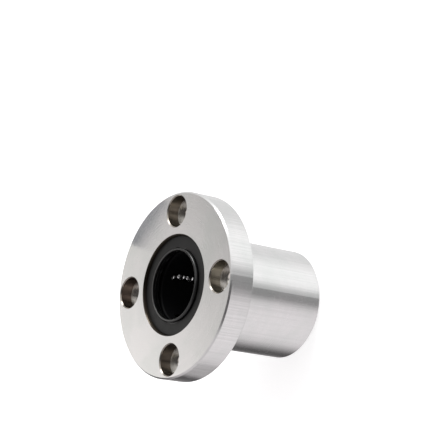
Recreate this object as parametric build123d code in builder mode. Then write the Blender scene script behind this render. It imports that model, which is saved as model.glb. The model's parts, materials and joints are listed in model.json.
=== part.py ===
from build123d import *
from math import acos, cos, degrees, hypot, radians, sin, tan
import os

# Linear ball bushing with a round flange, for a 20 mm shaft.
# The shaft runs along Z. The flange seats on its housing at z = 0 and its front
# face looks up along +Z. The barrel goes down into the housing.
# Lengths are in millimetres and angles in degrees.

# Shaft, balls and ball circuits
shaft_diameter = 20.0
ball_diameter = 3.175
circuit_count = 5
first_circuit_angle = 10.0
balls_in_turn = 2
ball_gap = 0.025
shaft_play = 0.005
raceway_play = 0.02
turn_tilt = 15.0

# Sleeve with its flange
overall_length = 42.0
barrel_wall = 1.5
barrel_end_chamfer = 0.7
flange_thickness = 8.0
flange_edge_chamfer = 0.45
undercut_width = 1.2
undercut_depth = 0.3
undercut_face_width = 0.6
undercut_face_depth = 0.2

# Counterbored bolt holes in the flange
bolt_count = 4
bolt_hole_diameter = 5.5
bolt_hole_chamfer = 0.2
counterbore_diameter = 9.0
counterbore_depth = 5.1
counterbore_chamfer = 0.3
counterbore_inner_wall = 1.0
counterbore_outer_wall = 1.0

# Raceway lands inside the sleeve, with relieved pockets between them
land_side_margin = 0.5
land_ramp_angle = 20.0
land_end_margin = 0.05
land_root = 0.4
pocket_play = 0.05

# Moulded ball retainer
retainer_shaft_clearance = 0.3
retainer_sleeve_clearance = 0.15
retainer_end_play = 0.05
retainer_end_wall = 0.8
retainer_bore_chamfer = 0.3
return_floor = 0.5
channel_clearance = 0.06
turn_channel_extra = 0.08
channel_overlap = 0.04

# Wiper seals
seal_seat_step = 0.24
seal_mouth_chamfer = 0.25
seal_recess = 1.0
seal_thickness = 1.4
seal_seat_clearance = 0.02
seal_edge_radius = 0.35
seal_back_chamfer = 0.15
seal_lip_height = 0.9
seal_lip_land = 0.85
seal_lip_thickness = 0.75
seal_lip_inner_round = 0.15
seal_groove_width = 0.3
seal_groove_depth = 0.35
seal_back_clearance = 0.35

# Snap rings that hold the retainer
ring_thickness = 0.9
ring_axial_play = 0.05
ring_groove_depth = 0.6
ring_groove_clearance = 0.08
ring_radial_width = 2.3
ring_gap = 6.0
ring_corner_radius = 0.5

# Places along the axis. The two ends are alike about the middle.
half_length = overall_length / 2
middle_z = flange_thickness - half_length
seal_face = half_length - seal_recess
seal_back = seal_face - seal_thickness
ring_groove_back = seal_back - ring_thickness - 2 * ring_axial_play
retainer_end = ring_groove_back - retainer_end_play
middle_plane = Plane.XY.offset(middle_z)
section_plane = Plane(origin=(0, 0, middle_z), x_dir=(1, 0, 0), z_dir=(0, -1, 0))

# Each circuit is a loop of two straight rows and two half-round turns. A turn is
# as wide as its balls need to stand one ball pitch apart along it.
shaft_radius = shaft_diameter / 2
ball_radius = ball_diameter / 2
channel_radius = ball_radius + channel_clearance
turn_channel_radius = channel_radius + turn_channel_extra
ball_pitch = ball_diameter + ball_gap
turn_step = 180 / balls_in_turn
turn_radius = ball_pitch / 2 / sin(radians(turn_step / 2))
row_spacing = 2 * turn_radius
turn_height = turn_radius * cos(radians(turn_tilt)) + turn_channel_radius
balls_in_row = int(2 * (retainer_end - retainer_end_wall - turn_height) / ball_pitch)
row_half_length = balls_in_row * ball_pitch / 2
ball_heights = [(i + 0.5) * ball_pitch - row_half_length for i in range(balls_in_row)]

# The loaded row touches the shaft. The return row runs one row spacing beside it
# and further out, over the floor of the retainer.
load_row_radius = shaft_radius + shaft_play + ball_radius
raceway_radius = load_row_radius + ball_radius + raceway_play
retainer_bore_radius = shaft_radius + retainer_shaft_clearance
return_row_radius = retainer_bore_radius + return_floor + channel_radius
return_row_angle = degrees(
    acos(
        (load_row_radius**2 + return_row_radius**2 - row_spacing**2)
        / (2 * load_row_radius * return_row_radius)
    )
)
load_row = Vector(load_row_radius, 0, 0)
return_row = Vector(return_row_radius, 0, 0).rotate(Axis.Z, return_row_angle)
across_rows = (return_row - load_row).normalized()
outward = across_rows.cross(Vector(0, 0, 1))
circuit_angles = [first_circuit_angle + i * 360 / circuit_count for i in range(circuit_count)]

# Seen on the row plane, X points outward and Y goes from the loaded to the
# return row. On the turn plane, X goes between the rows and Y to the turn's top,
# which leans outward to lift the balls off the shaft.
row_plane = Plane(
    origin=load_row + Vector(0, 0, middle_z),
    x_dir=outward,
    z_dir=(0, 0, 1),
)
turn_plane = Plane(
    origin=(load_row + return_row) / 2 + Vector(0, 0, middle_z + row_half_length),
    x_dir=across_rows,
    z_dir=outward.rotate(Axis((0, 0, 0), across_rows), turn_tilt),
)


# How far from the shaft axis a ball's centre is at an angle round the front turn,
# from 0 at the loaded row to 180 at the return row
def turn_ball_radius(angle):
    sideways = -turn_radius * cos(radians(angle))
    upward = turn_radius * sin(radians(angle))
    centre = turn_plane.from_local_coords(Vector(sideways, upward, 0))
    return hypot(centre.X, centre.Y)


# Radii from the pockets outwards. The pockets clear the balls' widest swing, and
# are ground to a whole hundredth.
widest_swing = max(turn_ball_radius(angle) for angle in range(181))
pocket_radius = round(widest_swing + ball_radius + pocket_play, 2)
retainer_radius = pocket_radius - retainer_sleeve_clearance
seal_seat_radius = pocket_radius + seal_seat_step
ring_groove_radius = seal_seat_radius + ring_groove_depth
ring_outer_radius = ring_groove_radius - ring_groove_clearance
barrel_radius = seal_seat_radius + barrel_wall
bolt_circle_radius = barrel_radius + counterbore_inner_wall + counterbore_diameter / 2
flange_radius = bolt_circle_radius + counterbore_diameter / 2 + counterbore_outer_wall

# The flat of a land ends where a ball begins to lift into the turn
land_half_width = ball_radius + land_side_margin
land_half_angle = degrees(land_half_width / raceway_radius)
lift_start = (ball_radius + raceway_play) * tan(radians(turn_tilt / 2))
land_half_length = row_half_length - lift_start - land_end_margin
land_rise = pocket_radius + land_root - raceway_radius
land_ramp_length = land_rise / tan(radians(land_ramp_angle))


# Plane through the shaft axis, with X outward at the angle and Y along the shaft
def axial_plane(angle):
    radial = Vector(1, 0, 0).rotate(Axis.Z, angle)
    return Plane(origin=(0, 0, middle_z), x_dir=radial, z_dir=radial.cross(Vector(0, 0, 1)))


# Sleeve and flange, turned from one piece of bearing steel
with BuildPart() as flanged_sleeve:
    flange_back = half_length - flange_thickness
    undercut_radius = barrel_radius - undercut_depth
    seat_inner_radius = barrel_radius + undercut_face_width
    with BuildSketch(section_plane):
        with BuildLine():
            Polyline(
                (0, half_length),
                (flange_radius - flange_edge_chamfer, half_length),
                (flange_radius, half_length - flange_edge_chamfer),
                (flange_radius, flange_back + flange_edge_chamfer),
                (flange_radius - flange_edge_chamfer, flange_back),
                (seat_inner_radius, flange_back),
                (seat_inner_radius - undercut_face_depth, flange_back + undercut_face_depth),
                (undercut_radius, flange_back + undercut_face_depth),
                (undercut_radius, flange_back - undercut_width + undercut_depth),
                (barrel_radius, flange_back - undercut_width),
                (barrel_radius, barrel_end_chamfer - half_length),
                (barrel_radius - barrel_end_chamfer, -half_length),
                (0, -half_length),
                close=True,
            )
        make_face()
    revolve(axis=Axis.Z)

    # Bore with a seal seat and a snap-ring groove at each end
    with BuildSketch(section_plane):
        with BuildLine():
            Polyline(
                (0, 0),
                (pocket_radius, 0),
                (pocket_radius, ring_groove_back),
                (ring_groove_radius, ring_groove_back),
                (ring_groove_radius, seal_back),
                (seal_seat_radius, seal_back),
                (seal_seat_radius, half_length - seal_mouth_chamfer),
                (seal_seat_radius + seal_mouth_chamfer, half_length),
                (0, half_length),
                close=True,
            )
        make_face()
        mirror(about=Plane.XZ)
    revolve(axis=Axis.Z, mode=Mode.SUBTRACT)

    # Ground raceway lands, ramped at both ends
    for angle in circuit_angles:
        with BuildSketch(axial_plane(angle - land_half_angle)):
            with BuildLine():
                Polyline(
                    (raceway_radius, -land_half_length),
                    (raceway_radius, land_half_length),
                    (raceway_radius + land_rise, land_half_length + land_ramp_length),
                    (raceway_radius + land_rise, -land_half_length - land_ramp_length),
                    close=True,
                )
            make_face()
        revolve(axis=Axis.Z, revolution_arc=2 * land_half_angle)

    # Bolt holes, counterbored from the front
    with Locations(Plane.XY.offset(flange_thickness)):
        with PolarLocations(bolt_circle_radius, bolt_count):
            CounterBoreHole(
                radius=bolt_hole_diameter / 2,
                counter_bore_radius=counterbore_diameter / 2,
                counter_bore_depth=counterbore_depth,
                depth=flange_thickness,
            )
    front_face = faces().filter_by(Axis.Z).sort_by(Axis.Z)[-1]
    counterbore_mouths = front_face.inner_wires().sort_by(SortBy.LENGTH)[:bolt_count]
    chamfer(counterbore_mouths.edges(), counterbore_chamfer)
    seat_face = min(faces().filter_by(Plane.XY), key=lambda face: abs(face.center().Z))
    hole_ends = seat_face.inner_wires().sort_by(SortBy.LENGTH)[:bolt_count]
    chamfer(hole_ends.edges(), bolt_hole_chamfer)

# Space that one circuit takes out of the retainer, in place at angle zero
with BuildPart() as ball_track:
    channel_overrun = turn_channel_radius * tan(radians(turn_tilt)) + channel_overlap
    with BuildSketch(row_plane):
        with Locations((0, 0), (0, row_spacing)):
            Circle(channel_radius)
            Rectangle(
                retainer_radius, 2 * channel_radius, align=(Align.MIN, Align.CENTER)
            )
    extrude(amount=row_half_length + channel_overrun, both=True)
    with Locations(turn_plane):
        Torus(turn_radius, turn_channel_radius, major_angle=180, align=Align.NONE)
    with BuildSketch(turn_plane):
        Circle(turn_radius + turn_channel_radius)
        Circle(turn_radius - turn_channel_radius, mode=Mode.SUBTRACT)
        Rectangle(
            2 * (turn_radius + turn_channel_radius),
            turn_radius + turn_channel_radius,
            align=(Align.CENTER, Align.MAX),
            mode=Mode.SUBTRACT,
        )
    extrude(amount=retainer_radius)
    mirror(about=middle_plane)

# Black resin retainer that guides the balls round their circuits
with BuildPart() as ball_retainer:
    notch_floor = raceway_radius * cos(radians(land_half_angle)) - retainer_sleeve_clearance
    notch_half_width = pocket_radius * sin(radians(land_half_angle)) + retainer_sleeve_clearance
    with BuildSketch(middle_plane):
        Circle(retainer_radius)
        with PolarLocations(notch_floor, circuit_count, start_angle=first_circuit_angle):
            Rectangle(
                retainer_radius,
                2 * notch_half_width,
                align=(Align.MIN, Align.CENTER),
                mode=Mode.SUBTRACT,
            )
        Circle(retainer_bore_radius, mode=Mode.SUBTRACT)
    extrude(amount=retainer_end, both=True)
    bore_edges = edges().filter_by(GeomType.CIRCLE).sort_by(SortBy.RADIUS)[:2]
    chamfer(bore_edges, retainer_bore_chamfer)
    for angle in circuit_angles:
        add(ball_track.part.rotate(Axis.Z, angle), mode=Mode.SUBTRACT)

# Wiper seals: a flat ring with a groove round its rounded lip, which rides on the
# shaft and stands out almost to the end of the sleeve
with BuildPart() as front_seal:
    seal_radius = seal_seat_radius - seal_seat_clearance
    lip_top = seal_face + seal_lip_height
    lip_outer_round = seal_lip_thickness - seal_lip_inner_round
    lip_foot = lip_top - seal_lip_land
    lip_crest_radius = shaft_radius + seal_lip_inner_round
    lip_outer_radius = shaft_radius + seal_lip_thickness
    groove_radius = lip_outer_radius + seal_groove_width
    groove_floor = seal_face - seal_groove_depth
    arc_rise = cos(radians(45))
    edge_arc_inset = seal_edge_radius * (1 - arc_rise)
    inner_arc_inset = seal_lip_inner_round * (1 - arc_rise)
    outer_arc_inset = lip_outer_round * (1 - arc_rise)
    with BuildSketch(section_plane):
        with BuildLine():
            Polyline(
                (lip_outer_radius, lip_top - lip_outer_round),
                (lip_outer_radius, groove_floor),
                (groove_radius, groove_floor),
                (groove_radius, seal_face),
                (seal_radius - seal_edge_radius, seal_face),
            )
            ThreePointArc(
                (seal_radius - seal_edge_radius, seal_face),
                (seal_radius - edge_arc_inset, seal_face - edge_arc_inset),
                (seal_radius, seal_face - seal_edge_radius),
            )
            Polyline(
                (seal_radius, seal_face - seal_edge_radius),
                (seal_radius, seal_back + seal_back_chamfer),
                (seal_radius - seal_back_chamfer, seal_back),
                (shaft_radius + seal_back_clearance, seal_back),
                (shaft_radius + seal_back_clearance, lip_foot - seal_back_clearance),
                (shaft_radius, lip_foot),
                (shaft_radius, lip_top - seal_lip_inner_round),
            )
            ThreePointArc(
                (shaft_radius, lip_top - seal_lip_inner_round),
                (shaft_radius + inner_arc_inset, lip_top - inner_arc_inset),
                (lip_crest_radius, lip_top),
            )
            ThreePointArc(
                (lip_crest_radius, lip_top),
                (lip_outer_radius - outer_arc_inset, lip_top - outer_arc_inset),
                (lip_outer_radius, lip_top - lip_outer_round),
            )
        make_face()
    revolve(axis=Axis.Z)

with BuildPart() as rear_seal:
    mirror(front_seal.part, about=middle_plane)

# Open snap rings in the grooves between the seals and the retainer
with BuildPart() as front_retaining_ring:
    with BuildSketch(middle_plane.offset(ring_groove_back + ring_axial_play)):
        Circle(ring_outer_radius)
        Circle(ring_outer_radius - ring_radial_width, mode=Mode.SUBTRACT)
        Rectangle(
            ring_gap,
            ring_outer_radius,
            align=(Align.CENTER, Align.MAX),
            mode=Mode.SUBTRACT,
        )
        fillet(vertices(), ring_corner_radius)
    extrude(amount=ring_thickness)

with BuildPart() as rear_retaining_ring:
    mirror(front_retaining_ring.part, about=middle_plane)

# Balls of one circuit, in place at angle zero
with BuildPart() as load_balls:
    with Locations(*[load_row + Vector(0, 0, middle_z + height) for height in ball_heights]):
        Sphere(ball_radius)

with BuildPart() as return_balls:
    with Locations(*[return_row + Vector(0, 0, middle_z + height) for height in ball_heights]):
        Sphere(ball_radius)

with BuildPart() as front_turn_balls:
    with Locations(turn_plane):
        with PolarLocations(turn_radius, balls_in_turn, turn_step / 2, 180, endpoint=False):
            Sphere(ball_radius)

with BuildPart() as rear_turn_balls:
    mirror(front_turn_balls.part, about=middle_plane)

os.makedirs("parts", exist_ok=True)
flanged_sleeve.part.label = "flanged_sleeve"
export_step(flanged_sleeve.part, "parts/flanged_sleeve.step")
ball_retainer.part.label = "ball_retainer"
export_step(ball_retainer.part, "parts/ball_retainer.step")
front_seal.part.label = "front_seal"
export_step(front_seal.part, "parts/front_seal.step")
rear_seal.part.label = "rear_seal"
export_step(rear_seal.part, "parts/rear_seal.step")
front_retaining_ring.part.label = "front_retaining_ring"
export_step(front_retaining_ring.part, "parts/front_retaining_ring.step")
rear_retaining_ring.part.label = "rear_retaining_ring"
export_step(rear_retaining_ring.part, "parts/rear_retaining_ring.step")

ball_groups = {
    "load_balls": load_balls,
    "return_balls": return_balls,
    "front_turn_balls": front_turn_balls,
    "rear_turn_balls": rear_turn_balls,
}
for number, angle in enumerate(circuit_angles, start=1):
    for group_name, group in ball_groups.items():
        with BuildPart() as balls:
            add(group.part.rotate(Axis.Z, angle))
        balls.part.label = f"{group_name}_{number}"
        export_step(balls.part, f"parts/{balls.part.label}.step")
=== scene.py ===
import json
import math

import bmesh
import bpy
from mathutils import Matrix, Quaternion, Vector

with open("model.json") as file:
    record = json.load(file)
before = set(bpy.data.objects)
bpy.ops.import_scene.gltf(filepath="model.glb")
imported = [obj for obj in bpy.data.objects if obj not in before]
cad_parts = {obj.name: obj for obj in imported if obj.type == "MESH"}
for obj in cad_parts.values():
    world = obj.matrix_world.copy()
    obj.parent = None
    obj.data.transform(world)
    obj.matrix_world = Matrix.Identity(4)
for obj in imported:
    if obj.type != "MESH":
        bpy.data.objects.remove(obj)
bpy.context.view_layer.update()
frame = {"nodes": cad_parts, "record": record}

scene = bpy.context.scene
MM = 0.001

# Sizes of the bushing that the materials and the stage follow, in metres
FLANGE_R = 27.0 * MM
FRONT_FACE_Z = 8.0 * MM
BARREL_END_Z = -34.0 * MM
BOLT_CIRCLE_R = 21.5 * MM
COUNTERBORE_R = 4.5 * MM
COUNTERBORE_CHAMFER = 0.3 * MM
COUNTERBORE_FLOOR_Z = 2.9 * MM
SEAL_SEAT_R = 14.5 * MM
SEAL_SEAT_CHAMFER = 0.25 * MM
SEAL_LIP_R = 10.8 * MM

# The photograph's view: angles in degrees, lens and sensor in millimetres
AIM = Vector((0.434, 22.571, -5.539)) * MM
DISTANCE = 512.851 * MM
AZIMUTH, ELEVATION, ROLL = -15.121, 36.239, -78.207
LENS, SENSOR = 147.097, 36.0
NEAREST_SEEN, FARTHEST_SEEN = 0.02, 5.0

WHITE = (1.0, 1.0, 1.0)


def toward(azimuth, elevation, distance, start=(0.0, 0.0, 0.0)):
    """The point that far from start in that direction: degrees and metres."""
    a, e = math.radians(azimuth), math.radians(elevation)
    step = Vector((math.cos(a) * math.cos(e), math.sin(a) * math.cos(e), math.sin(e)))
    return Vector(start) + step * distance


def new_object(name, data):
    made = bpy.data.objects.new(name, data)
    scene.collection.objects.link(made)
    return made


def turn(made, direction, roll=0.0):
    """Points the object's Z axis in that direction and rolls it about it, in degrees."""
    made.rotation_mode = "QUATERNION"
    rolled = Quaternion((0, 0, 1), math.radians(roll))
    made.rotation_quaternion = direction.to_track_quat("Z", "Y") @ rolled


def add_camera():
    data = bpy.data.cameras.new("camera")
    data.lens = LENS
    data.sensor_width = SENSOR
    data.clip_start, data.clip_end = NEAREST_SEEN, FARTHEST_SEEN
    made = new_object("camera", data)
    back = toward(AZIMUTH, ELEVATION, 1.0)
    made.location = AIM + back * DISTANCE
    turn(made, back, ROLL)
    return made


scene.camera = add_camera()
scene.view_settings.view_transform = "Standard"


class Graph:
    """One node tree. An input given as a socket is linked, as a number or tuple is set."""

    def __init__(self, tree):
        self.tree = tree
        self.tree.nodes.clear()

    def node(self, kind, inputs=None, **settings):
        made = self.tree.nodes.new(kind)
        for name, value in settings.items():
            setattr(made, name, value)
        for name, value in (inputs or {}).items():
            self.put(made.inputs[name], value)
        return made

    def put(self, socket, value):
        if isinstance(value, bpy.types.NodeSocket):
            self.tree.links.new(value, socket)
        elif isinstance(value, tuple) and len(value) == 3 and socket.type == "RGBA":
            socket.default_value = (*value, 1.0)
        else:
            socket.default_value = value

    def math(self, operation, first, second=0.0, third=0.0):
        inputs = {0: first, 1: second, 2: third}
        return self.node("ShaderNodeMath", inputs, operation=operation).outputs[0]

    def add(self, first, second):
        return self.math("ADD", first, second)

    def subtract(self, first, second):
        return self.math("SUBTRACT", first, second)

    def multiply(self, first, second):
        return self.math("MULTIPLY", first, second)

    def smooth(self, value, low, high, start=0.0, end=1.0):
        """Goes smoothly from start to end as value goes from low to high."""
        inputs = {
            "Value": value,
            "From Min": low,
            "From Max": high,
            "To Min": start,
            "To Max": end,
        }
        made = self.node("ShaderNodeMapRange", inputs, interpolation_type="SMOOTHSTEP")
        return made.outputs[0]

    def within(self, value, edge, soft):
        """1 up to the edge, and from there smoothly to 0 over the soft width."""
        return self.smooth(value, edge, edge + soft, 1.0, 0.0)

    def mix(self, factor, first, second):
        """A colour from the first to the second."""
        inputs = {0: factor, 6: first, 7: second}
        return self.node("ShaderNodeMix", inputs, data_type="RGBA").outputs[2]

    def blend(self, factor, first, second):
        """A number from the first to the second."""
        inputs = {0: factor, 2: first, 3: second}
        return self.node("ShaderNodeMix", inputs, data_type="FLOAT").outputs[0]

    def vector(self, x, y, z):
        return self.node("ShaderNodeCombineXYZ", {"X": x, "Y": y, "Z": z}).outputs[0]

    def split(self, vector):
        return self.node("ShaderNodeSeparateXYZ", {0: vector}).outputs

    def length(self, vector):
        made = self.node("ShaderNodeVectorMath", {0: vector}, operation="LENGTH")
        return made.outputs["Value"]

    def normalize(self, vector):
        made = self.node("ShaderNodeVectorMath", {0: vector}, operation="NORMALIZE")
        return made.outputs["Vector"]

    def coordinates(self, kind):
        return self.node("ShaderNodeTexCoord").outputs[kind]

    def noise(self, vector, scale, detail=2.0, roughness=0.5):
        inputs = {
            "Vector": vector,
            "Scale": scale,
            "Detail": detail,
            "Roughness": roughness,
        }
        return self.node("ShaderNodeTexNoise", inputs).outputs[0]

    def bump(self, height, distance, normal=None):
        inputs = {"Height": height, "Distance": distance, "Strength": 1.0}
        if normal is not None:
            inputs["Normal"] = normal
        return self.node("ShaderNodeBump", inputs).outputs[0]


class Place:
    """Where a point of the object is: its row coordinates, its radius about the bore and
    its direction from there, how far its surface faces along the bore, from 0 on the
    barrel to 1 on a flat face, and whether it is a chamfer at 45 degrees."""

    def __init__(self, g):
        self.point = g.coordinates("Object")
        self.x, self.y, self.z = g.split(self.point)
        flat = g.vector(self.x, self.y, 0.0)
        self.radius = g.length(flat)
        self.around = g.normalize(flat)
        lean = g.math("ABSOLUTE", g.split(g.coordinates("Normal"))[2])
        self.faced = g.smooth(lean, 0.5, 0.9)
        off_chamfer = g.math("ABSOLUTE", g.subtract(lean, math.sqrt(0.5)))
        self.chamfered = g.within(off_chamfer, 0.05, 0.05)


def new_material(name, base, metallic, roughness, **settings):
    """A principled material. A setting's name has underscores for the socket's spaces."""
    material = bpy.data.materials.new(name)
    material.use_nodes = True
    material.diffuse_color = (*base, 1.0)
    g = Graph(material.node_tree)
    shader = g.node("ShaderNodeBsdfPrincipled")
    g.put(shader.inputs["Base Color"], base)
    g.put(shader.inputs["Metallic"], metallic)
    g.put(shader.inputs["Roughness"], roughness)
    for socket, value in settings.items():
        g.put(shader.inputs[socket.replace("_", " ")], value)
    g.node("ShaderNodeOutputMaterial", {"Surface": shader.outputs[0]})
    return material, g, shader


# Roughness of the bearing steel where it is smooth, what its grooves add, and the
# roughness of its chamfers, its bore and the holes' walls
SMOOTH_ROUGHNESS, GROOVED_ROUGHNESS = 0.22, 0.08
CHAMFER_ROUGHNESS = 0.25
BORE_ROUGHNESS = 0.6
WALL_ROUGHNESS, BRIGHT_END_ROUGHNESS = 0.3, 0.2

# How far the painted light at the foot of a counterbore's wall reaches up from its floor,
# and the widths over which one finish of the steel gives way to the next
PAINTED_LIGHT_REACH = 1.1 * MM
PAINTED_LIGHT_FADE, CHAMFER_FADE, EDGE_FADE = 0.3 * MM, 0.05 * MM, 0.04 * MM

# Heights of the relief: on walls and on faces from the grooves, on walls from the waves
GROOVES_ON_WALLS, GROOVES_ON_FACES, WAVES_ON_WALLS = 0.5e-6, 1.2e-6, 4.0e-6


def nearest_hole(g, at):
    """Where the point lies from the nearest bolt hole's axis: x, y and the distance."""
    on_x = g.math("GREATER_THAN", g.math("ABSOLUTE", at.x), g.math("ABSOLUTE", at.y))
    on_y = g.subtract(1.0, on_x)
    offsets = []
    for along, on_axis in ((at.x, on_x), (at.y, on_y)):
        reach = g.multiply(on_axis, BOLT_CIRCLE_R)
        offsets.append(g.subtract(along, g.multiply(g.math("SIGN", along), reach)))
    x, y = offsets
    return x, y, g.length(g.vector(x, y, 0.0))


def lathe_marks(g, at, in_hole):
    """Fine grooves and broad bands from turning. They follow the radius on the faces and
    the axis on the barrel, rim and holes."""
    radius = g.multiply(at.radius, g.subtract(1.0, in_hole))
    in_millimetres = g.multiply(g.add(radius, at.z), 1.0 / MM)
    round_x, round_y = g.split(at.around)[:2]
    turned = g.vector(g.multiply(round_x, 0.5), g.multiply(round_y, 0.5), in_millimetres)
    return g.noise(turned, 6.0, 3.0, 0.6), g.noise(turned, 0.9, 2.0, 0.5)


def grinding_waves(g, at):
    """Streaks along the axis, from the slight waves that grinding leaves in the metal.
    They shape the relief, and they also lay grey painted reflection streaks in the colour.
    """
    round_x, round_y = g.split(at.around)[:2]
    stretched = g.vector(
        g.multiply(round_x, 75.0), g.multiply(round_y, 75.0), g.multiply(at.z, 25.0)
    )
    return g.noise(stretched, 1.0, 3.0, 0.6)


def ground_color(g, at, cloud, bands, waves, off_faces):
    """Bright mottled steel, faintly banded, with grey painted reflection streaks on the
    barrel and rim.
    """
    mottled = g.smooth(cloud, 0.35, 0.65)
    bright = g.mix(mottled, (0.69, 0.70, 0.69), (0.755, 0.745, 0.745))
    bright = g.mix(g.multiply(bands, 0.4), bright, (0.66, 0.66, 0.665))
    depth = g.smooth(at.radius, FLANGE_R - 2.0 * MM, FLANGE_R - 1.0 * MM, 0.2, 0.3)
    depth = g.multiply(depth, off_faces)
    # Painted reflection: grey streaks along the grinding waves, stronger on the rim and
    # none on the faces
    streaks = g.multiply(g.smooth(waves, 0.35, 0.62), depth)
    return g.mix(streaks, bright, (0.54, 0.54, 0.535))


def hole_color(g, at, cloud, painted_light_end):
    """Hardening left the holes dull and brownish, darker and redder towards -X. Their
    floors and the feet of their walls are painted light: a bright steel colour that stands
    in for the light falling on them."""
    mottled = g.smooth(cloud, 0.3, 0.7)
    dark_side = g.mix(mottled, (0.095, 0.07, 0.058), (0.19, 0.15, 0.125))
    light_side = g.mix(mottled, (0.15, 0.135, 0.107), (0.29, 0.265, 0.215))
    dull = g.mix(g.smooth(at.x, -24.0 * MM, 14.0 * MM), dark_side, light_side)
    # Painted light: the floor and the foot of the wall get a bright steel colour
    return g.mix(painted_light_end, dull, (0.62, 0.59, 0.55))


def marks_direction(g, hole_x, hole_y, in_hole):
    """The marks run round the bushing's axis, and in a hole round the hole's own axis."""
    round_bore = g.node("ShaderNodeTangent", direction_type="RADIAL", axis="Z").outputs[0]
    round_hole = g.node(
        "ShaderNodeVectorTransform",
        {0: g.vector(g.multiply(hole_y, -1.0), hole_x, 0.0)},
        vector_type="VECTOR",
        convert_from="OBJECT",
        convert_to="WORLD",
    ).outputs[0]
    inputs = {0: in_hole, 4: round_bore, 5: g.normalize(round_hole)}
    return g.node("ShaderNodeMix", inputs, data_type="VECTOR").outputs[1]


def bearing_steel():
    """Turned faces, a ground barrel and rim, and dark holes, with painted light on the
    counterbores' floors, a painted highlight tint on their chamfers and painted shade in
    the bore.
    """
    material, g, shader = new_material(
        "bearing_steel",
        (0.72, 0.72, 0.72),
        1.0,
        0.26,
        Anisotropic=0.7,
        Anisotropic_Rotation=0.25,
    )
    at = Place(g)
    hole_x, hole_y, from_hole = nearest_hole(g, at)
    off_faces = g.smooth(at.faced, 0.0, 1.0, 1.0, 0.0)
    in_hole = g.within(from_hole, COUNTERBORE_R + EDGE_FADE / 2, EDGE_FADE)
    in_hole = g.multiply(in_hole, off_faces)
    chamfer_edge = COUNTERBORE_R + COUNTERBORE_CHAMFER
    near_hole = g.within(from_hole, chamfer_edge + CHAMFER_FADE, CHAMFER_FADE)
    mouth_edge = SEAL_SEAT_R + SEAL_SEAT_CHAMFER
    in_bore = g.within(at.radius, mouth_edge - EDGE_FADE / 2, EDGE_FADE)
    # Painted light: 1 on the counterbores' floors and the feet of their walls, which get a
    # bright colour
    painted_light_end = g.within(at.z, COUNTERBORE_FLOOR_Z + PAINTED_LIGHT_REACH, PAINTED_LIGHT_FADE)
    grooves, bands = lathe_marks(g, at, in_hole)
    waves = grinding_waves(g, at)
    cloud = g.noise(at.point, 90.0, 3.0, 0.55)

    # The bright steel is darker and cream on the holes' chamfers, a painted tint that dims
    # their highlights, and the seal's seat and the bore are dark with painted shade
    bright = ground_color(g, at, cloud, bands, waves, off_faces)
    # Painted highlight tint: the holes' chamfers are darker and cream
    bright = g.mix(g.multiply(at.chamfered, near_hole), bright, (0.31, 0.285, 0.255))
    # Painted shade: the seal's seat and the bore behind it are nearly black
    painted_bore_shade = g.mix(cloud, (0.035, 0.03, 0.024), (0.06, 0.05, 0.04))
    color = g.mix(in_hole, bright, hole_color(g, at, cloud, painted_light_end))
    g.put(shader.inputs["Base Color"], g.mix(in_bore, color, painted_bore_shade))

    wall = g.smooth(painted_light_end, 0.0, 1.0, WALL_ROUGHNESS, BRIGHT_END_ROUGHNESS)
    turned = g.add(SMOOTH_ROUGHNESS, g.multiply(grooves, GROOVED_ROUGHNESS))
    roughness = g.blend(in_hole, turned, wall)
    roughness = g.blend(in_bore, roughness, BORE_ROUGHNESS)
    roughness = g.blend(at.chamfered, roughness, CHAMFER_ROUGHNESS)
    g.put(shader.inputs["Roughness"], roughness)

    g.put(shader.inputs["Tangent"], marks_direction(g, hole_x, hole_y, in_hole))
    height = g.smooth(at.faced, 0.0, 1.0, GROOVES_ON_WALLS, GROOVES_ON_FACES)
    grooved = g.bump(grooves, height)
    height = g.smooth(at.faced, 0.0, 1.0, WAVES_ON_WALLS, 0.0)
    g.put(shader.inputs["Normal"], g.bump(waves, height, grooved))
    return material


def dress(g, shader, grain, spread, roughness, colors, relief):
    """The grain varies the colour, the height, and over its spread the roughness."""
    g.put(shader.inputs["Roughness"], g.smooth(grain, *spread, *roughness))
    g.put(shader.inputs["Base Color"], g.mix(grain, *colors))
    g.put(shader.inputs["Normal"], g.bump(grain, relief))


def ball_steel():
    """Polished balls with a trace of haze."""
    material, g, shader = new_material("ball_steel", (0.8, 0.8, 0.81), 1.0, 0.05)
    haze = g.noise(g.coordinates("Object"), 2500.0, 3.0, 0.6)
    colors = (0.76, 0.76, 0.77), (0.83, 0.83, 0.835)
    dress(g, shader, haze, (0.3, 0.8), (0.04, 0.12), colors, 0.3e-6)
    return material


def spring_steel():
    material, g, shader = new_material("spring_steel", (0.46, 0.46, 0.47), 1.0, 0.32)
    grain = g.noise(g.coordinates("Object"), 1800.0, 4.0, 0.6)
    colors = (0.38, 0.38, 0.40), (0.55, 0.55, 0.55)
    dress(g, shader, grain, (0.2, 0.8), (0.25, 0.45), colors, 3.0e-6)
    return material


def retainer_resin():
    material, g, shader = new_material(
        "retainer_resin", (0.005, 0.005, 0.0055), 0.0, 0.5, Specular_IOR_Level=0.04
    )
    grain = g.noise(g.coordinates("Object"), 3000.0, 3.0, 0.6)
    colors = (0.004, 0.004, 0.0045), (0.007, 0.007, 0.0075)
    dress(g, shader, grain, (0.2, 0.8), (0.42, 0.58), colors, 4.0e-6)
    return material


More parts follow.
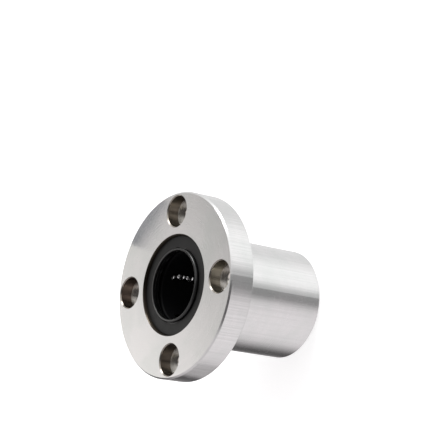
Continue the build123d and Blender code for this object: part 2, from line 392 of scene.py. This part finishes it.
def seal_rubber():
    """The shaft polishes and oils the lip, and the band round it is matt."""
    material, g, shader = new_material(
        "seal_rubber",
        (0.005, 0.005, 0.0053),
        0.0,
        0.5,
        Specular_IOR_Level=0.36,
        Coat_Roughness=0.15,
    )
    at = Place(g)
    grain = g.noise(at.point, 5000.0, 4.0, 0.65)
    bloom = g.noise(at.point, 260.0, 3.0, 0.6)
    lip = g.within(at.radius, SEAL_LIP_R, 0.4 * MM)
    matt = g.smooth(bloom, 0.25, 0.75, 0.45, 0.58)
    g.put(shader.inputs["Roughness"], g.blend(lip, matt, 0.28))
    g.put(shader.inputs["Coat Weight"], g.multiply(lip, 0.4))
    black = g.mix(
        g.smooth(bloom, 0.3, 0.7), (0.004, 0.0043, 0.0043), (0.0065, 0.0066, 0.0065)
    )
    g.put(shader.inputs["Base Color"], black)
    g.put(shader.inputs["Normal"], g.bump(grain, g.smooth(lip, 0.0, 1.0, 3.0e-6, 0.8e-6)))
    return material


finishes = {
    "bearing_steel": bearing_steel(),
    "ball_steel": ball_steel(),
    "spring_steel": spring_steel(),
    "retainer_resin": retainer_resin(),
    "seal_rubber": seal_rubber(),
}
for part in frame["record"]["subparts"]:
    node = frame["nodes"][part["node"]]
    node.data.materials.clear()
    node.data.materials.append(finishes[part["material_slot"]])


# The floor's width and glow, the tent's radius, and the key lamp's width and power
FLOOR_SIZE, FLOOR_GLOW = 4.0, 0.545
TENT_R = 3.0
KEY_SIZE, KEY_WATTS = 0.24, 1.2

# Soft light panels round the bushing and the dark gaps between them, on a plain level:
# azimuth, half width and soft edge in degrees, and the light that each adds or takes. The
# sides give way to the top between the horizon and TOP_ELEVATION. The tinted panel lies
# on the others and only colours them.
SIDE_LEVEL = 0.92
SIDE_PANELS = (
    (52.0, 12.0, 35.0, 0.34),
    (-62.0, 14.0, 26.0, 0.07),
    (5.0, 3.0, 24.0, -0.61),
    (-148.0, 5.0, 46.0, -0.84),
)
TOP_LEVEL = 0.74
TOP_PANELS = ((-22.0, 24.0, 25.0, -0.62), (78.0, 34.0, 24.0, 0.5))
TOP_ELEVATION = 25.0
TINTED_PANEL, TINT = (-90.0, 75.0, 30.0), (1.0, 0.965, 0.98)

# What a level face mirrors for the photograph's camera lies this way from it
MIRROR_AZIMUTH, MIRROR_ELEVATION = AZIMUTH + 180.0, ELEVATION

# The graded card's light at its middle, its fall per metre, and its limits
GRADED_LEVEL, FALL_RIGHT, FALL_UP = 0.81, 6.9, 7.5
GRADED_DARKEST, GRADED_BRIGHTEST = 0.2, 1.25


def stage_graph(made):
    """The empty node graph of a new material, on an object of the stage."""
    material = bpy.data.materials.new(made.name)
    material.use_nodes = True
    made.data.materials.append(material)
    return Graph(material.node_tree)


def shine(g, color, strength):
    made = g.node("ShaderNodeEmission", {"Color": color, "Strength": strength})
    g.node("ShaderNodeOutputMaterial", {"Surface": made.outputs[0]})


def rectangle(name, width, height, z=0.0):
    w, h = width / 2, height / 2
    corners = [(-w, -h, z), (w, -h, z), (w, h, z), (-w, h, z)]
    mesh = bpy.data.meshes.new(name)
    mesh.from_pydata(corners, [], [(0, 1, 2, 3)])
    return new_object(name, mesh)


def sees_background(g):
    """1 for camera, glossy and transmission rays, which are given the white background,
    and 0 for the rest. The bushing's own reflections meet the tent before it."""
    path = g.node("ShaderNodeLightPath")
    seen = g.math("MAXIMUM", path.outputs["Is Camera Ray"], path.outputs["Is Glossy Ray"])
    return g.math("MAXIMUM", seen, path.outputs["Is Transmission Ray"])


def floor():
    """A white floor that keeps the object's shadow."""
    ground = rectangle("floor", FLOOR_SIZE, FLOOR_SIZE, BARREL_END_Z)
    g = stage_graph(ground)
    speckle = g.noise(g.coordinates("Object"), 400.0)
    color = g.mix(speckle, (0.86, 0.86, 0.86), (0.88, 0.88, 0.88))
    plain = g.node("ShaderNodeBsdfDiffuse", {"Color": color})
    strength = g.multiply(sees_background(g), FLOOR_GLOW)
    glow = g.node("ShaderNodeEmission", {"Strength": strength})
    both = g.node("ShaderNodeAddShader", {0: plain.outputs[0], 1: glow.outputs[0]})
    g.node("ShaderNodeOutputMaterial", {"Surface": both.outputs[0]})
    # Below the horizon too, the steel mirrors the tent's soft panels and not this floor
    ground.visible_glossy = False


def panels(g, direction):
    """Colour and level of the soft light panels, by direction."""
    x, y, z = g.split(direction)
    azimuth = g.math("DEGREES", g.math("ARCTAN2", y, x))

    def panel(centre, half_width, soft):
        away = g.math("WRAP", g.subtract(azimuth, centre), 180.0, -180.0)
        return g.within(g.math("ABSOLUTE", away), half_width, soft)

    def lit(level, rows):
        for *row, light in rows:
            level = g.add(level, g.multiply(panel(*row), light))
        return level

    above = g.smooth(g.math("ARCSINE", z), 0.0, math.radians(TOP_ELEVATION))
    level = g.blend(above, lit(SIDE_LEVEL, SIDE_PANELS), lit(TOP_LEVEL, TOP_PANELS))
    return g.mix(panel(*TINTED_PANEL), WHITE, TINT), level


def surroundings():
    """White for the rays that are given the background, the panels' light for the rest."""
    world = bpy.data.worlds.new("studio")
    world.use_nodes = True
    # Sampled as a lamp, this light would reach the steel as well as the tent's
    world.cycles.sampling_method = "NONE"
    scene.world = world
    g = Graph(world.node_tree)
    color, level = panels(g, g.coordinates("Generated"))
    light = g.node("ShaderNodeBackground", {"Color": color, "Strength": level})
    white = g.node("ShaderNodeBackground", {"Color": WHITE, "Strength": 1.0})
    choice = g.node(
        "ShaderNodeMixShader",
        {0: sees_background(g), 1: light.outputs[0], 2: white.outputs[0]},
    )
    g.node("ShaderNodeOutputWorld", {"Surface": choice.outputs[0]})


def only_in_reflections(made):
    made.visible_camera = made.visible_diffuse = made.visible_shadow = False
    made.visible_transmission = False


def tent():
    """The panels themselves, round the bushing. Only reflections show them, so the steel
    mirrors them in place of the white background."""
    mesh = bpy.data.meshes.new("tent")
    shell = bmesh.new()
    bmesh.ops.create_icosphere(shell, subdivisions=4, radius=TENT_R)
    shell.to_mesh(mesh)
    shell.free()
    made = new_object("tent", mesh)
    only_in_reflections(made)
    g = stage_graph(made)
    mesh.materials[0].cycles.emission_sampling = "NONE"
    shine(g, *panels(g, g.normalize(g.coordinates("Object"))))


def lamp(name, place, aim, size, power):
    """A round soft lamp that shines at the aim: metres and watts."""
    data = bpy.data.lights.new(name, "AREA")
    data.shape = "DISK"
    data.size = size
    data.energy = power
    made = new_object(name, data)
    made.location = place
    turn(made, Vector(place) - Vector(aim))


def card(name, place, aim, width, height, roll=0.0):
    """A studio card that faces the aim and that only reflections show. Gives its graph."""
    made = rectangle(name, width, height)
    made.location = place
    turn(made, Vector(aim) - Vector(place), roll)
    only_in_reflections(made)
    return stage_graph(made)


def graded_card():
    """What the flange's front face mirrors for the photograph's camera: bright below and
    to the left, and dull above and to the right."""
    face = (0.0, 0.0, FRONT_FACE_Z)
    distance, side = 0.10, 0.16
    place = toward(MIRROR_AZIMUTH, MIRROR_ELEVATION, distance, face)
    g = card("graded_card", place, face, side, side)
    x, y = g.split(g.coordinates("Object"))[:2]
    fall = g.add(g.multiply(x, FALL_RIGHT), g.multiply(y, FALL_UP))
    level = g.math("MAXIMUM", g.subtract(GRADED_LEVEL, fall), GRADED_DARKEST)
    level = g.math("MINIMUM", level, GRADED_BRIGHTEST)
    shine(g, (1.0, 0.975, 0.955), level)


def dark_card():
    """It dulls the upper left part of the face."""
    high_left = (-15.0 * MM, 20.9 * MM, FRONT_FACE_Z)
    distance, width, height = 0.016, 0.0175, 0.0038
    place = toward(MIRROR_AZIMUTH, MIRROR_ELEVATION, distance, high_left)
    g = card("dark_card", place, high_left, width, height, roll=20.0)
    shine(g, (0.05, 0.065, 0.11), 1.0)


def under_card():
    """The under side of the rim mirrors a dim card below it."""
    rim_azimuth, card_azimuth = -70.0, -126.0
    distance, width, height = 0.03, 0.018, 0.014
    rim = toward(rim_azimuth, 0.0, FLANGE_R, (0.0, 0.0, FRONT_FACE_Z / 2))
    place = toward(card_azimuth, -MIRROR_ELEVATION, distance, rim)
    g = card("under_card", place, rim, width, height)
    shine(g, (1.0, 0.97, 0.98), 0.52)


floor()
surroundings()
tent()
lamp("key", toward(88.0, 36.0, 0.6), (0.0, 0.0, 0.0), KEY_SIZE, KEY_WATTS)
graded_card()
dark_card()
under_card()
